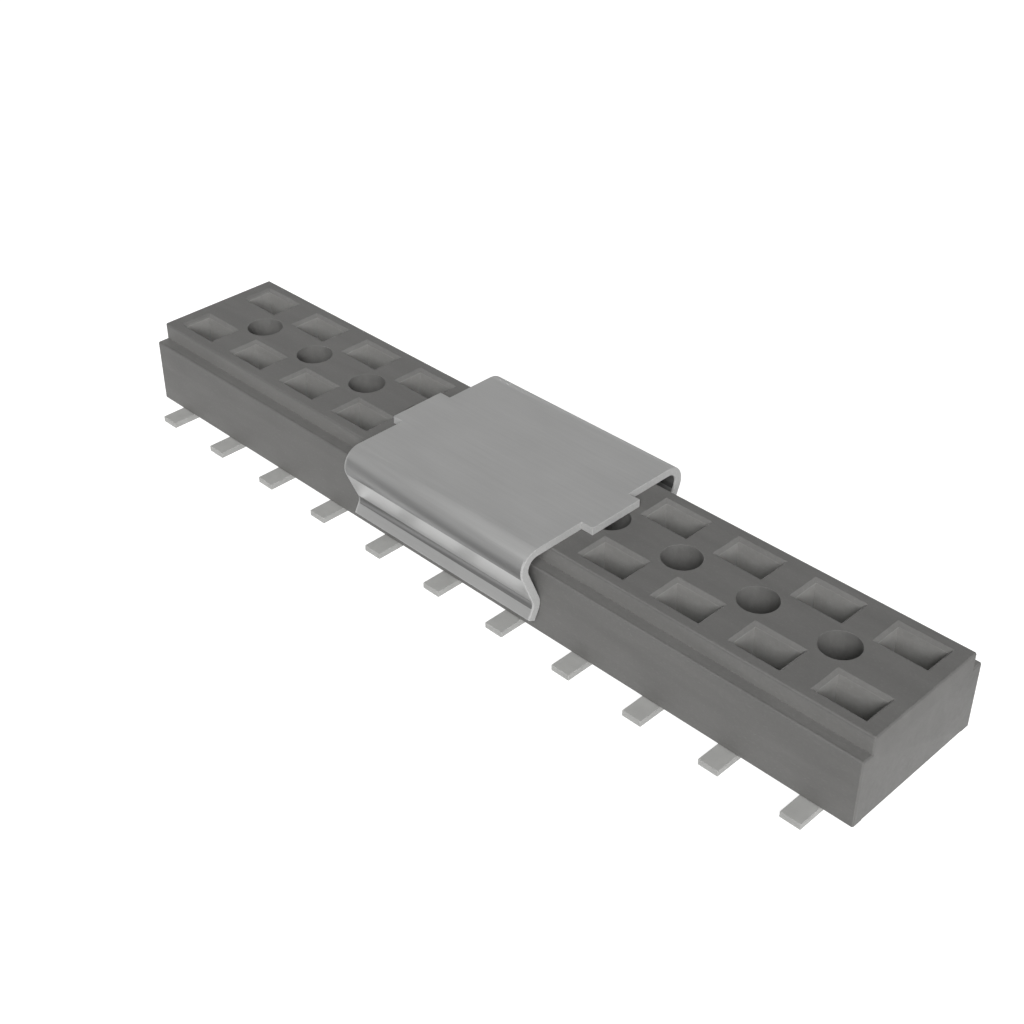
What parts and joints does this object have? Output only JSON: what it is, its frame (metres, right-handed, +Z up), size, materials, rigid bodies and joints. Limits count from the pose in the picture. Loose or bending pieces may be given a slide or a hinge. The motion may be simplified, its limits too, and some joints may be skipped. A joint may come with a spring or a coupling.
{
  "type": "pcb socket",
  "caption": "Low-profile surface-mount double-row pin socket on a 2 mm grid, with flat solder tails and a sprung metal pick-up clip.",
  "frame": {"origin": "centre of the solder plane, midway between the two rows and between the two ends", "axes": "+X along the rows, +Y across the rows to the rear, +Z up out of the board, towards the mating pins"},
  "size_m": [0.022, 0.0052, 0.0025],
  "materials": {
    "housing_plastic": "moulded glass-filled liquid crystal polymer, matte",
    "contact_tin": "matte tin plate over spring bronze",
    "clip_metal": "rolled stainless spring strip, satin"
  },
  "bodies": {
    "root": {"housing": "housing_plastic", "contact_front_01": "contact_tin", "contact_front_02": "contact_tin", "contact_front_03": "contact_tin", "contact_front_04": "contact_tin", "contact_front_05": "contact_tin", "contact_front_06": "contact_tin", "contact_front_07": "contact_tin", "contact_front_08": "contact_tin", "contact_front_09": "contact_tin", "contact_front_10": "contact_tin", "contact_front_11": "contact_tin", "contact_rear_01": "contact_tin", "contact_rear_02": "contact_tin", "contact_rear_03": "contact_tin", "contact_rear_04": "contact_tin", "contact_rear_05": "contact_tin", "contact_rear_06": "contact_tin", "contact_rear_07": "contact_tin", "contact_rear_08": "contact_tin", "contact_rear_09": "contact_tin", "contact_rear_10": "contact_tin", "contact_rear_11": "contact_tin", "pickup_clip": "clip_metal"}
  },
  "joints": []
}
